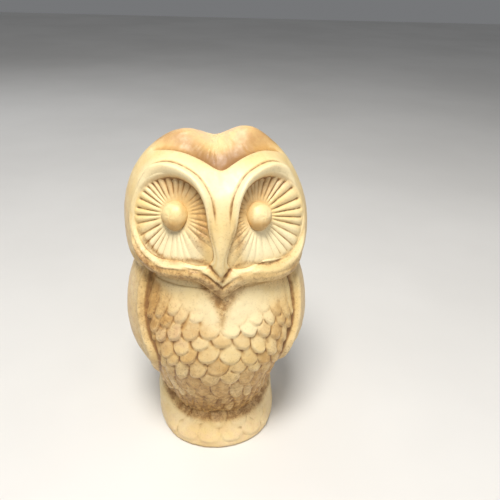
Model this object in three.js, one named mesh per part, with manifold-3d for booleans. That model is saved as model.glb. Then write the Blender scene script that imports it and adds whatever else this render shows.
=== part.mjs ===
// Owl figurine: a hollow fired-clay casting about 200 mm tall that stands on a round foot.
// Millimetres, +Z up. The origin is the centre of the resting face. The owl faces -Y, so its own
// left is +X.
// The casting is divided along its sculpted creases into separate solids, SEAM apart.

import * as THREE from 'three';
import { ParametricGeometry } from 'three/addons/geometries/ParametricGeometry.js';
import { mergeVertices } from 'three/addons/utils/BufferGeometryUtils.js';
import Module from 'manifold-3d';

const wasm = await Module();
wasm.setup();

// ---------- driving dimensions ----------

const SEAM = 0.3; // space left between two neighbouring solids
const WALL = 5.5; // thickness of the cast wall
const NECK_HEIGHT = 122; // where the head meets the torso

// The head is a rounded box: half sizes about its centre, and how square it is.
const HEAD = { centreHeight: 147, halfWidth: 53, front: 48, back: 46, up: 54, down: 58 };
const HEAD_SQUARENESS = { plan: 2.2, top: 2.4, bottom: 2.1 };

// The crest is a lip across the top with two ear lobes and a valley between them that runs on
// backwards. A cove lies in front of it, and the nape falls away behind it.
const LIP = { at: -2, spread: 8 };
const LOBES = [
  { at: 16, spread: 12, rise: 3.2 },
  { at: -21, spread: 13, rise: 2.2 },
];
const VALLEY = { at: -1, spread: 10.5, depth: 4.6, frontSpread: 14, backSpread: 48 };
const NAPE = { from: 2, to: 24, drop: 3.2 };
const CREST_ELEVATIONS = [6, 29]; // degrees over which the crest's relief grows to its full share
const COVE = { depth: 6, frontAt: -35.4, frontSlope: 0.78, halfWidth: 37 };

// The torso, by height: half width, depth of the front and depth of the back.
const TORSO_HEIGHTS = [12, 31, 45, 60, 80, 98, 110, NECK_HEIGHT - SEAM];
const TORSO_HALF_WIDTHS = [26, 33.5, 39.5, 46.5, 53.2, 53.4, 51.3, 47.8];
const TORSO_FRONTS = [27, 33, 39, 44.7, 49.2, 48.2, 45.7, 42.5];
const TORSO_BACKS = [27, 38, 42, 45.5, 47, 46, 44, 41];
const TORSO_SQUARENESS = 2.2;

const FEATHERS = { bottom: 40, top: 118 }; // heights between which the wings and the breast run
const BREAST_INSET = 3; // degrees between the breast and each wing

const FOOT = { radius: 39.8, top: 38, apronTop: 22, apronRadius: 30, floor: 6, drainRadius: 8, bore: 22 };
const PAD = { radius: 36.5, thickness: 1.2 };

// An eye is a fluted disc in a pocket, tilted outwards and up. The pupils sit nearer the beak.
const EYE = { radius: 21.5, sideways: 25.9, forward: 36.6, height: 165.3, turn: 28.5, tilt: 14.5 };
const DISC = { thickness: 6.5, dish: 2.4, fluteDepth: 0.5, flutes: 30 };
const PUPIL = { halfWidth: 7.2, halfHeight: 7.8, rise: 7 };
const PUPIL_OFFSETS = { left: 6.8, right: 1.7 }; // from the disc's centre towards the beak
const PUPIL_UP = 0.9; // above the disc's centre
const EYE_BOSS = 5; // wall left behind and around an eye pocket

const GLAZED_CREAM = { color: 0xd9b873, roughness: 0.55, metalness: 0 };
const GLAZED_LIGHT = { color: 0xe6cc8a, roughness: 0.5, metalness: 0 };
const GLAZED_OCHRE = { color: 0xc79c55, roughness: 0.6, metalness: 0 };
const FELT_BROWN = { color: 0x4a3a2c, roughness: 0.95, metalness: 0 };

// ---------- small helpers ----------

const radians = THREE.MathUtils.degToRad;
const bell = (distance, spread) => Math.exp(-((distance / spread) ** 2));

function direction(azimuth, elevation) {
  // Azimuth 0 faces -Y and grows towards +X.
  const level = Math.cos(elevation);
  return new THREE.Vector3(Math.sin(azimuth) * level, -Math.cos(azimuth) * level, Math.sin(elevation));
}

function curveOver(heights, values) {
  const interpolant = new THREE.CubicInterpolant(heights, values, 1);
  return (height) => interpolant.evaluate(height)[0];
}

function superRadius(azimuth, halfWidth, front, back, squareness) {
  const depth = Math.cos(azimuth) > 0 ? front : back;
  const across = Math.abs(Math.sin(azimuth) / halfWidth) ** squareness;
  const along = Math.abs(Math.cos(azimuth) / depth) ** squareness;
  return (across + along) ** (-1 / squareness);
}

function closedSurface(around, rings, pointAt) {
  // Rings of points, with the first and the last drawn together to one point each.
  const place = (u, v, target) => target.copy(pointAt(u % 1, Math.round(v * rings)));
  const surface = new ParametricGeometry(place, around, rings);
  surface.deleteAttribute('normal');
  surface.deleteAttribute('uv');
  return withoutSlivers(mergeVertices(surface, 1e-3));
}

function withoutSlivers(geometry) {
  const kept = [];
  const index = geometry.index.array;
  for (let i = 0; i < index.length; i += 3) {
    const [a, b, c] = [index[i], index[i + 1], index[i + 2]];
    if (a !== b && b !== c && c !== a) kept.push(a, b, c);
  }
  geometry.setIndex(kept);
  return facingOut(geometry);
}

function facingOut(geometry) {
  const { array: points } = geometry.attributes.position;
  const index = geometry.index.array;
  const corner = (i) => new THREE.Vector3().fromArray(points, 3 * index[i]);
  let volume = 0;
  for (let i = 0; i < index.length; i += 3) {
    volume += corner(i).dot(corner(i + 1).cross(corner(i + 2)));
  }
  if (volume < 0) geometry.setIndex(Array.from(index).reverse());
  return geometry;
}

function solid(geometry) {
  const bare = geometry.clone();
  bare.deleteAttribute('normal');
  bare.deleteAttribute('uv');
  const merged = mergeVertices(bare, 1e-4);
  const mesh = new wasm.Mesh({
    numProp: 3,
    vertProperties: new Float32Array(merged.attributes.position.array),
    triVerts: new Uint32Array(merged.index.array),
  });
  return new wasm.Manifold(mesh);
}

function geometryOf(manifold) {
  const mesh = manifold.getMesh();
  const geometry = new THREE.BufferGeometry();
  geometry.setAttribute('position', new THREE.BufferAttribute(mesh.vertProperties, 3));
  geometry.setIndex(new THREE.BufferAttribute(mesh.triVerts, 1));
  return geometry;
}

function named(name, geometry, finish) {
  const mesh = new THREE.Mesh(geometry, new THREE.MeshStandardMaterial(finish));
  mesh.name = name;
  return mesh;
}

// ---------- surfaces that the pieces share ----------

function crestRelief(x, y) {
  const lip = bell(y - LIP.at, LIP.spread);
  const lobes = LOBES.reduce((sum, { at, spread, rise }) => sum + rise * bell(x - at, spread), 0);
  const valleySpread = y < 0 ? VALLEY.frontSpread : VALLEY.backSpread;
  const valley = VALLEY.depth * bell(x - VALLEY.at, VALLEY.spread) * bell(y, valleySpread);
  return lobes * lip - valley - NAPE.drop * THREE.MathUtils.smoothstep(y, NAPE.from, NAPE.to);
}

function coveRelief(x, y) {
  const front = COVE.frontAt + COVE.frontSlope * Math.abs(x);
  const across = (y - front) / (LIP.at - front);
  const open = 1 - (x / COVE.halfWidth) ** 2;
  if (across <= 0 || across >= 1 || open <= 0) return 0;
  return -COVE.depth * open * Math.sin(Math.PI * across ** 0.6);
}

function headPoint(azimuth, elevation, lift) {
  const out = direction(azimuth, elevation);
  const plan = superRadius(azimuth, HEAD.halfWidth, HEAD.front, HEAD.back, HEAD_SQUARENESS.plan);
  const upper = out.z > 0;
  const power = upper ? HEAD_SQUARENESS.top : HEAD_SQUARENESS.bottom;
  const across = (Math.cos(elevation) / plan) ** power;
  const along = Math.abs(out.z / (upper ? HEAD.up : HEAD.down)) ** power;
  let radius = (across + along) ** (-1 / power);
  const [x, y] = [out.x * radius, out.y * radius];
  const share = THREE.MathUtils.smoothstep(elevation, ...CREST_ELEVATIONS.map(radians));
  radius += share * (crestRelief(x, y) + coveRelief(x, y));
  return out.multiplyScalar(radius + lift).add(new THREE.Vector3(0, 0, HEAD.centreHeight));
}

const torsoHalfWidth = curveOver(TORSO_HEIGHTS, TORSO_HALF_WIDTHS);
const torsoFront = curveOver(TORSO_HEIGHTS, TORSO_FRONTS);
const torsoBack = curveOver(TORSO_HEIGHTS, TORSO_BACKS);

function torsoPoint(azimuth, height, lift) {
  const size = [torsoHalfWidth(height), torsoFront(height), torsoBack(height)];
  const radius = superRadius(azimuth, ...size, TORSO_SQUARENESS) + lift;
  return new THREE.Vector3(Math.sin(azimuth) * radius, -Math.cos(azimuth) * radius, height);
}

function headBlank(around, rings, lift) {
  const place = (u, ring) => headPoint(2 * Math.PI * u, Math.PI * (ring / rings - 0.5), lift);
  return solid(closedSurface(around, rings, place));
}

function stackedBlank(around, levels, bottom, top, pointAt) {
  const place = (u, ring) => {
    const level = THREE.MathUtils.clamp(ring - 1, 0, levels);
    const point = pointAt(2 * Math.PI * u, bottom + ((top - bottom) * level) / levels);
    if (ring === 0 || ring === levels + 2) point.set(0, 0, point.z);
    return point;
  };
  return solid(closedSurface(around, levels + 2, place));
}

function torsoBlank(around, levels, lift) {
  const [bottom, top] = [TORSO_HEIGHTS[0], TORSO_HEIGHTS.at(-1)];
  return stackedBlank(around, levels, bottom, top, (azimuth, height) => torsoPoint(azimuth, height, lift));
}

function post(radius, bottom, top, around = 40) {
  const cylinder = new THREE.CylinderGeometry(radius, radius, top - bottom, around);
  cylinder.rotateX(Math.PI / 2);
  cylinder.translate(0, 0, (top + bottom) / 2);
  return cylinder;
}

function block(bottom, top) {
  const size = 4 * HEAD.halfWidth;
  const box = new THREE.BoxGeometry(size, size, top - bottom);
  box.translate(0, 0, (top + bottom) / 2);
  return solid(box);
}

// ---------- raised strips that follow a surface ----------

function raisedStrip({ surface, centreLine, halfWidth, rise, edge, steps, across, gap }) {
  // The section runs over the top from one edge to the other and back underneath. At each end the top
  // and the underside meet in one edge.
  const around = 2 * across + 2;
  const place = (u, ring) => {
    const along = THREE.MathUtils.clamp((ring - 0.5) / (steps - 1), 0, 1);
    const corner = Math.round(u * around) % around;
    const isOver = corner <= across;
    const side = isOver ? (2 * corner) / across - 1 : 1 - (2 * (corner - across - 1)) / across;
    const isEnd = ring === 0 || ring === steps;
    const thickness = isOver ? edge + rise(along) * (1 - side * side) : 0;
    const [azimuth, position] = centreLine(along, side * halfWidth(along));
    return surface(azimuth, position, gap + (isEnd ? edge / 2 : thickness));
  };
  return closedSurface(around, steps, place);
}

function spline(points) {
  return new THREE.CatmullRomCurve3(points.map(([a, b]) => new THREE.Vector3(a, b, 0)));
}

function beside(curve, along, offset) {
  // A point set off square to the curve, in degrees of azimuth and elevation.
  const point = curve.getPointAt(along);
  const tangent = curve.getTangentAt(along);
  return [point.x - tangent.y * offset, point.y + tangent.x * offset];
}

function headStrip(points, halfWidth, rise, steps) {
  const curve = spline(points);
  return raisedStrip({
    surface: headPoint,
    centreLine: (along, offset) => beside(curve, along, offset).map(radians),
    halfWidth,
    rise,
    edge: 0.8,
    steps,
    across: 4,
    gap: SEAM,
  });
}

const arch = (along) => Math.sin(Math.PI * THREE.MathUtils.clamp(along, 0, 1));
const tapered = (width, tip) => (along) => tip + (width - tip) * arch(along) ** 0.5;

// ---------- the pieces ----------

function eyeFrame(side) {
  // Local axes of an eye: x to the owl's left, y up the face, z out of the face.
  const out = direction(radians(side * EYE.turn), radians(EYE.tilt));
  const sideways = new THREE.Vector3(0, 0, 1).cross(out).normalize();
  const up = out.clone().cross(sideways);
  const frame = new THREE.Matrix4().makeBasis(sideways, up, out);
  return frame.setPosition(side * EYE.sideways, -EYE.forward, EYE.height);
}

function ellipsePoint(u, halfWidth, halfHeight, sideways = 0, up = 0) {
  const around = 2 * Math.PI * u;
  return new THREE.Vector2(halfWidth * Math.cos(around) + sideways, halfHeight * Math.sin(around) + up);
}

function discGeometry(side, pupilOffset) {
  // Flat behind, dished in front, with flutes that run from the hub around the pupil to the rim.
  const slices = 2 * DISC.flutes;
  const hubSize = [PUPIL.halfWidth + 1, PUPIL.halfHeight + 1];
  const rings = [
    { reach: -1, level: -DISC.thickness },
    { reach: 1, level: -DISC.thickness },
    { reach: 1, level: -0.5 },
    { reach: 0.9, level: -0.9, fluted: true },
    { reach: 0.1, level: -DISC.dish, fluted: true },
    { reach: 0, level: -DISC.dish },
    { reach: -1, level: -DISC.dish },
  ];
  const place = (u, number) => {
    const { reach, level, fluted } = rings[number];
    const hub = ellipsePoint(u, ...hubSize, -side * pupilOffset, PUPIL_UP);
    const centre = new THREE.Vector2(-side * pupilOffset, PUPIL_UP);
    const rim = ellipsePoint(u, EYE.radius, EYE.radius);
    const point = reach < 0 ? centre : hub.lerp(rim, reach);
    const isGroove = fluted && Math.round(u * slices) % 2 === 1;
    return new THREE.Vector3(point.x, point.y, level - (isGroove ? DISC.fluteDepth : 0));
  };
  return closedSurface(slices, rings.length - 1, place).applyMatrix4(eyeFrame(side));
}

function pupilGeometry(side, pupilOffset) {
  // A dome with a flat back that rests on the disc's hub.
  const rings = 7;
  const place = (u, ring) => {
    const lean = (Math.PI / 2) * Math.max(0, (ring - 1) / (rings - 1));
    const reach = ring === 0 ? 0 : Math.cos(lean);
    const level = PUPIL.rise * Math.sin(lean) - DISC.dish + SEAM;
    const size = [PUPIL.halfWidth * reach, PUPIL.halfHeight * reach];
    const point = ellipsePoint(u, ...size, -side * pupilOffset, PUPIL_UP);
    return new THREE.Vector3(point.x, point.y, level);
  };
  return closedSurface(20, rings, place).applyMatrix4(eyeFrame(side));
}

function eyePlug(side, radius, bottom, top) {
  return solid(post(radius, bottom, top).applyMatrix4(eyeFrame(side)));
}

function headShell() {
  const floor = DISC.thickness + SEAM;
  const inside = headBlank(28, 14, -WALL)
    .subtract(eyePlug(1, EYE.radius + EYE_BOSS, -floor - EYE_BOSS, WALL))
    .subtract(eyePlug(-1, EYE.radius + EYE_BOSS, -floor - EYE_BOSS, WALL));
  return headBlank(56, 30, 0)
    .subtract(inside)
    .subtract(eyePlug(1, EYE.radius + SEAM, -floor, 4 * WALL))
    .subtract(eyePlug(-1, EYE.radius + SEAM, -floor, 4 * WALL))
    .subtract(block(0, NECK_HEIGHT));
}

function torsoShell() {
  const inside = torsoBlank(28, 9, -WALL);
  const throat = solid(post(TORSO_HALF_WIDTHS.at(-1) - 4 * WALL, NECK_HEIGHT - WALL, NECK_HEIGHT + WALL));
  const drain = solid(post(FOOT.bore - 2 * WALL, 0, TORSO_HEIGHTS[1]));
  return torsoBlank(56, 20, 0).subtract(inside).subtract(throat).subtract(drain);
}

function footRadius(azimuth, height) {
  // The sides and back stand upright. The front is an apron that slopes back to the belly.
  const turned = Math.abs(THREE.MathUtils.radToDeg(Math.atan2(Math.sin(azimuth), Math.cos(azimuth))));
  const upright = THREE.MathUtils.smoothstep(turned, 35, 72);
  const rise = height / FOOT.apronTop;
  const apron = FOOT.radius - (FOOT.radius - FOOT.apronRadius) * Math.min(rise, 1.6) ** 2.2;
  const wall = FOOT.radius - 1.6 * THREE.MathUtils.smoothstep(height, FOOT.top - 8, FOOT.top);
  return THREE.MathUtils.lerp(apron, wall, upright);
}

function footBase() {
  const bottom = PAD.thickness + SEAM;
  const place = (azimuth, height) => {
    const radius = footRadius(azimuth, height);
    return new THREE.Vector3(Math.sin(azimuth) * radius, -Math.cos(azimuth) * radius, height);
  };
  return stackedBlank(56, 8, bottom, FOOT.top, place)
    .subtract(torsoBlank(56, 20, SEAM))
    .subtract(solid(post(FOOT.bore, FOOT.floor, FOOT.top + WALL)))
    .subtract(solid(post(FOOT.drainRadius, 0, FOOT.floor + WALL)));
}

// The wings' front edges, in degrees from the owl's front, are also the sides of the feathered breast.
const wingFrontEdge = (along) => 42 + 15 * along ** 1.5;
const wingBackEdge = (along) => 100 + 48 * along;

function torsoStrip(middle, halfWidth, rise, across) {
  return raisedStrip({
    surface: torsoPoint,
    centreLine: (along, offset) => {
      const height = THREE.MathUtils.lerp(FEATHERS.bottom, FEATHERS.top, along);
      return [radians(middle(along) + offset), height];
    },
    halfWidth,
    rise,
    edge: 0.9,
    steps: 14,
    across,
    gap: 2 * SEAM,
  });
}

function wing(side) {
  // From the neck to a tip above the foot.
  const middle = (along) => (side * (wingFrontEdge(along) + wingBackEdge(along))) / 2;
  const rounding = (along) => arch(0.03 + 0.94 * along ** 0.8) ** 0.3;
  const halfWidth = (along) => ((wingBackEdge(along) - wingFrontEdge(along)) / 2) * rounding(along);
  return torsoStrip(middle, halfWidth, () => 1.4, 10);
}

function breast() {
  const rounding = (along) => arch(0.12 + 0.76 * along) ** 0.25;
  const halfWidth = (along) => (wingFrontEdge(along) - BREAST_INSET) * rounding(along);
  return torsoStrip(() => 0, halfWidth, () => 1.6, 14);
}

function brow(side) {
  const arc = [[6.3, 22], [8, 31], [13.5, 40.5], [25, 47], [37, 48.7], [49, 46.5], [58.5, 40], [63, 31]];
  const points = arc.map(([azimuth, elevation]) => [side * azimuth, elevation]);
  return headStrip(points, tapered(2.6, 0.7), () => 1.6, 16);
}

function beak() {
  const ridge = [[-0.5, 39], [-0.5, 25], [-1, 8], [-1.5, -6], [-1.5, -16.5]];
  const halfWidth = (along) => 0.6 + 5.4 * arch(along ** 1.5) ** 0.8;
  return headStrip(ridge, halfWidth, (along) => 1.5 + 3.5 * along, 14);
}

function ruff(side) {
  const roll = [[3, -24], [8.5, -17], [16, -13.5], [27, -14], [38, -17], [49, -14], [57, -8]];
  const points = roll.map(([azimuth, elevation]) => [side * azimuth, elevation]);
  return headStrip(points, tapered(4.8, 1.5), () => 2.2, 16);
}

function feltPad() {
  return post(PAD.radius, 0, PAD.thickness, 56);
}

// ---------- the assembly ----------

const owl = new THREE.Group();
owl.add(
  named('head_shell', geometryOf(headShell()), GLAZED_CREAM),
  named('torso_shell', geometryOf(torsoShell()), GLAZED_CREAM),
  named('feathered_breast', breast(), GLAZED_CREAM),
  named('foot_base', geometryOf(footBase()), GLAZED_OCHRE),
  named('beak', beak(), GLAZED_LIGHT),
  named('felt_pad', feltPad(), FELT_BROWN),
);
for (const [name, side] of Object.entries({ left: 1, right: -1 })) {
  owl.add(
    named(`${name}_eye_disc`, discGeometry(side, PUPIL_OFFSETS[name]), GLAZED_LIGHT),
    named(`${name}_pupil`, pupilGeometry(side, PUPIL_OFFSETS[name]), GLAZED_CREAM),
    named(`${name}_brow`, brow(side), GLAZED_LIGHT),
    named(`${name}_ruff`, ruff(side), GLAZED_OCHRE),
    named(`${name}_wing`, wing(side), GLAZED_CREAM),
  );
}

export default owl;
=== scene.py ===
"""Looks of a moulded clay owl figurine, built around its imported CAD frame.

The sculpt is worked out in millimetres as two radius maps, one over the head's directions and one
over the torso's angles and heights. Every piece of the casting samples those maps, so neighbouring
pieces meet as one sculpted surface. The owl faces -Y and its own left is +X.
"""
import math

import bpy
import numpy as np
from mathutils import Matrix, Vector


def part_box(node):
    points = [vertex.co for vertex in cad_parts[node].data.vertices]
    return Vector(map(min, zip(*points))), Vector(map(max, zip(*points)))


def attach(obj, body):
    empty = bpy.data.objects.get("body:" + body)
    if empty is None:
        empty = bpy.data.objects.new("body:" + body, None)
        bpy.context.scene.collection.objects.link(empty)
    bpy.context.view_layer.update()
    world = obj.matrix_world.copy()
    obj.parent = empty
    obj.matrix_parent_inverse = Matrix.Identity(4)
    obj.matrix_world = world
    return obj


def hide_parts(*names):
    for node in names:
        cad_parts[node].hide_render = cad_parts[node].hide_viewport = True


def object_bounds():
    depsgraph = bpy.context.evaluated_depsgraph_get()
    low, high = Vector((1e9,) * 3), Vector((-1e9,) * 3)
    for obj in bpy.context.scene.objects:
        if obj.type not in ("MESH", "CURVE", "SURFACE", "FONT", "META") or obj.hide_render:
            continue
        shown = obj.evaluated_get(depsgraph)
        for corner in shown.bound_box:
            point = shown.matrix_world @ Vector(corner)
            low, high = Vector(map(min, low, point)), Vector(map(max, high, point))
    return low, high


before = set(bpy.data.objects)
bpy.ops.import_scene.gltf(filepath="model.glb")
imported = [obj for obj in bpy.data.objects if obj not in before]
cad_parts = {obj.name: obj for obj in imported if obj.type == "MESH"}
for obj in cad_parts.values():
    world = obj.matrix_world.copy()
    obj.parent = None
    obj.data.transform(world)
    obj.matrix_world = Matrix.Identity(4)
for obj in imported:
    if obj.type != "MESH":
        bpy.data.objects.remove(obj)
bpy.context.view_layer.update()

MM = 0.001
SIDES = {"left": 1, "right": -1}


# ---------- sizes, in millimetres, from the frame ----------


def box_mm(node):
    """Lowest and highest corner of a CAD node."""
    low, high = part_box(node)
    return np.array(low) / MM, np.array(high) / MM


head_low, head_high = box_mm("head_shell")
torso_low, _ = box_mm("torso_shell")
foot_low, foot_high = box_mm("foot_base")

NECK = head_low[2]
HEAD_CENTRE = np.array([0.0, 0.0, NECK + 25])
HEAD_WIDTH = head_high[0]
HEAD_FRONT = -head_low[1]
HEAD_BACK = head_high[1]
CREST_RISE = 1.3
HEAD_UP = head_high[2] - HEAD_CENTRE[2] - CREST_RISE
HEAD_DOWN = 58.0
FOOT_RADIUS = foot_high[0]
FOOT_TOP = foot_high[2]


# ---------- small maths ----------


def bell(distance, spread):
    """1 at no distance, falling smoothly to about a third at the spread."""
    return np.exp(-((distance / spread) ** 2))


def smooth(value, start, end):
    """0 at the start and 1 at the end, eased at both. The end may be the lower one."""
    t = np.clip((value - start) / (end - start), 0, 1)
    return t * t * (3 - 2 * t)


def curve_over(knots, values):
    """A smooth curve through a few points: each span eases with the slopes of its neighbours."""
    knots = np.asarray(knots, float)
    values = np.asarray(values, float)
    slopes = np.gradient(values, knots)

    def at(x):
        x = np.clip(x, knots[0], knots[-1])
        i = np.clip(np.searchsorted(knots, x) - 1, 0, len(knots) - 2)
        span = knots[i + 1] - knots[i]
        t = (x - knots[i]) / span
        rise = (2 * t**3 - 3 * t**2 + 1) * values[i] + (3 * t**2 - 2 * t**3) * values[i + 1]
        ease = (t**3 - 2 * t**2 + t) * slopes[i] + (t**3 - t**2) * slopes[i + 1]
        return rise + ease * span

    return at


def direction(azimuth, elevation):
    """Unit vector out of the owl. Azimuth 0 is straight ahead and grows towards its left."""
    level = np.cos(elevation)
    parts = (np.sin(azimuth) * level, -np.cos(azimuth) * level, np.sin(elevation))
    return np.stack(np.broadcast_arrays(*parts), -1)


def blur(field, reach, wrap):
    """Softens a map by about reach cells. The first axis never wraps, the second one may."""
    offsets = np.arange(-int(2.5 * reach) - 1, int(2.5 * reach) + 2)
    weights = bell(offsets, reach * 1.414)
    weights /= weights.sum()
    rows, cols = field.shape
    down = sum(w * field[np.clip(np.arange(rows) + o, 0, rows - 1)] for o, w in zip(offsets, weights))
    if wrap:
        return sum(w * np.roll(down, -o, axis=1) for o, w in zip(offsets, weights))
    return sum(w * down[:, np.clip(np.arange(cols) + o, 0, cols - 1)] for o, w in zip(offsets, weights))


def grit(shape, reach, seed):
    """Seeded soft unevenness of a map, about -1 to 1, in lumps of about reach cells."""
    field = blur(np.random.default_rng(seed).normal(size=shape), reach, True)
    return field / (2 * field.std())


class Chart:
    """A regular map over two coordinates. It is read between its cells, and columns may wrap."""

    def __init__(self, rows, cols, field, wrap):
        self.rows, self.cols, self.field, self.wrap = rows, cols, field, wrap

    def at(self, col, row):
        count = len(self.cols)
        step = self.cols[1] - self.cols[0]
        x = (col - self.cols[0]) / step
        y = np.clip((row - self.rows[0]) / (self.rows[1] - self.rows[0]), 0, len(self.rows) - 1.001)
        if not self.wrap:
            x = np.clip(x, 0, count - 1.001)
        i, j = np.floor(x).astype(int), np.floor(y).astype(int)
        fx, fy = x - i, y - j
        i0, i1 = i % count, (i + 1) % count
        low = self.field[j, i0] * (1 - fx) + self.field[j, i1] * fx
        high = self.field[j + 1, i0] * (1 - fx) + self.field[j + 1, i1] * fx
        return low * (1 - fy) + high * fy


def all_round(step):
    """Evenly stepped angles all round, in radians, from a step in degrees."""
    step = math.radians(step)
    return np.arange(-math.pi, math.pi - step / 2, step)


def flat_curve(points, count=120):
    """Evenly stepped points along a Catmull-Rom curve through a few plane points."""
    p = np.array(points, float)
    p = np.vstack([2 * p[0] - p[1], p, 2 * p[-1] - p[-2]])
    made = []
    for t in np.linspace(0, len(points) - 1.0001, count):
        i = int(t)
        f = t - i
        a, b, c, d = p[i : i + 4]
        bend = 2 * a - 5 * b + 4 * c - d
        twist = 3 * b - a - 3 * c + d
        made.append(0.5 * (2 * b + (c - a) * f + bend * f**2 + twist * f**3))
    return np.array(made)


def near_curve(x, y, curve):
    """For each place: signed distance to a plane curve, left of it positive, and how far along it is."""
    best = np.full(x.shape, 1e9)
    index = np.zeros(x.shape, int)
    for i, (cx, cy) in enumerate(curve):
        gap = (x - cx) ** 2 + (y - cy) ** 2
        closer = gap < best
        best[closer] = gap[closer]
        index[closer] = i
    ahead = curve[np.minimum(index + 1, len(curve) - 1)]
    behind = curve[np.maximum(index - 1, 0)]
    tangent = ahead - behind
    side = tangent[..., 0] * (y - curve[index, 1]) - tangent[..., 1] * (x - curve[index, 0])
    return np.sqrt(best) * np.where(side > 0, 1, -1), index / (len(curve) - 1)


# ---------- the head's shape ----------

# How square the owl is seen from above, and its head over the top and under the chin. 2 is an ellipse.
PLAN_SQUARE, TOP_SQUARE, BOTTOM_SQUARE = 2.2, 2.4, 2.1
# One degree round the owl, taken at a radius of 50 mm everywhere.
HEAD_MM_PER_DEGREE = math.radians(1) * 50


def head_base(azimuth, elevation):
    """Radius of the plain rounded head about its centre."""
    depth = np.where(np.cos(azimuth) > 0, HEAD_FRONT, HEAD_BACK)
    sideways = np.abs(np.sin(azimuth) / HEAD_WIDTH) ** PLAN_SQUARE
    lengthways = np.abs(np.cos(azimuth) / depth) ** PLAN_SQUARE
    plan = (sideways + lengthways) ** (-1 / PLAN_SQUARE)
    upper = np.sin(elevation) > 0
    power = np.where(upper, TOP_SQUARE, BOTTOM_SQUARE)
    tall = np.where(upper, HEAD_UP, HEAD_DOWN)
    return ((np.cos(elevation) / plan) ** power + np.abs(np.sin(elevation) / tall) ** power) ** (-1 / power)


LEFT_LOBE, RIGHT_LOBE = 3.6, 2.2
VALLEY_DEPTH, NAPE_DROP = 4.6, 3.2


def crest_relief(x, y):
    """The lip across the top, with a lobe on each side and a dip between that runs on backwards."""
    lip = bell(y + 2, 8)
    lobes = LEFT_LOBE * bell(x - 16, 12) + RIGHT_LOBE * bell(x + 21, 13)
    valley = bell(x + 1, 10.5) * np.where(y < 0, bell(y, 14), bell(y, 48))
    return lobes * lip - VALLEY_DEPTH * valley - NAPE_DROP * smooth(y, 2, 24)


COVE_FRONT, COVE_BACK, COVE_SLOPE = -35.4, -4.0, 0.78
COVE_HALF_WIDTH = 38.0
COVE_DEPTH, COVE_MIDDLE_DEPTH = 7.5, 5.5


def cove_front(x):
    """The sharp front edge of the cove, a wide V behind the forehead."""
    return COVE_FRONT + COVE_SLOPE * np.sqrt(x**2 + 9)


def cove_relief(x, y):
    """The hollow in front of the lip, deepest along a V behind the forehead."""
    front = cove_front(x)
    across = np.clip((y - front) / (COVE_BACK - front), 0, 1)
    open_width = np.clip(1 - (x / COVE_HALF_WIDTH) ** 2, 0, 1)
    depth = COVE_DEPTH + COVE_MIDDLE_DEPTH * bell(x + 1, 14)
    return -depth * open_width * np.sin(math.pi * across**0.5)


EYE_TURN, EYE_LIFT = math.radians(28.5), math.radians(14.5)
EYE_SHIFT_OUT, EYE_SHIFT_FORWARD = 0.8, 3.4


def eye_axes(side):
    """Local axes of an eye: x to the owl's left, y up the face, z out of the face."""
    out = direction(side * EYE_TURN, EYE_LIFT)
    across = np.cross([0, 0, 1], out)
    across /= np.linalg.norm(across)
    return np.stack([across, np.cross(out, across), out])


def eye_centre(name, side):
    """Origin of an eye's axes: the centre of the disc's box, moved a little out and forward."""
    low, high = box_mm(f"{name}_eye_disc")
    return (low + high) / 2 + eye_axes(side).T @ [EYE_SHIFT_OUT * side, 0, EYE_SHIFT_FORWARD]


EYES = {side: (eye_centre(name, side), eye_axes(side)) for name, side in SIDES.items()}

# Side 1 is the owl's left eye and side -1 its right. The right pupil looks less inwards than the left.
PUPIL_IN = {1: 6.8, -1: 1.7}
PUPIL_UP = 0.9
# How far a disc's outline is drawn out towards the beak's tip and towards the jowl.
CORNER = {1: 12.5, -1: 9.5}
JOWL = {1: 4.8, -1: 3.0}
DISC_RADIUS = 21.5
POCKET_GAP = 1.6


def eye_local(points, side):
    """Points in an eye's own axes."""
    centre, axes = EYES[side]
    return (points - centre) @ axes.T


def outline_radius(inward, up, side):
    """Distance from the disc's centre to its edge: round, but drawn out to the beak's tip and the jowl."""
    angle = np.degrees(np.arctan2(up, inward))
    corner = CORNER[side] * bell(angle + 42, 22)
    jowl = JOWL[side] * bell((angle + 305) % 360 - 180, 48)
    return DISC_RADIUS + corner + jowl - 0.8 * bell(angle - 15, 25)


def base_level(x, y, side):
    """Height of the plain head over an eye's plane."""
    centre, axes = EYES[side]
    z = np.full(np.shape(x), 3.0)
    for _ in range(10):
        p = centre + np.stack([x, y, z], -1) @ axes - HEAD_CENTRE
        far = np.linalg.norm(p, axis=-1)
        azimuth = np.arctan2(p[..., 0], -p[..., 1])
        over = far - head_base(azimuth, np.arcsin(p[..., 2] / far))
        z = z - over
    return z


def disc_floor(x, y, side):
    """The dished floor of an eye disc, without its flutes."""
    rho = np.hypot(x, y)
    dish = -1.3 - 1.6 * np.clip(1 - (rho / DISC_RADIUS) ** 2, -0.2, 1)
    dish = dish - 1.6 * smooth(y - 0.5 * side * x, 0, 19)
    follow = base_level(x, y, side) - 1.5
    soft = 1.2
    return -soft * np.log(np.exp(-dish / soft) + np.exp(-follow / soft))


# Azimuth and elevation, in degrees, along a brow's crest, and of the folds over and under the ruff.
BROW_ARC = [
    (8.4, 14), (8.8, 27), (11.5, 36), (19, 43.5), (30, 47), (42, 47.8), (52, 45.5), (59, 40), (62, 31)
]
BROW_SQUEEZE = math.cos(math.radians(38))
RUFF_TOP = curve_over(
    [0, 4.5, 9, 13, 20, 30, 38, 45, 55, 65], [-12.5, -8.8, -5.6, -4.0, -4.4, -6.6, -7.4, -5, 2, 12]
)
RUFF_BOTTOM = curve_over([0, 5, 10, 16, 27, 38, 48, 60], [-34, -28, -22.5, -18.6, -18.3, -19, -18.5, -13])
FACE_TILT = 0.08


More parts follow.
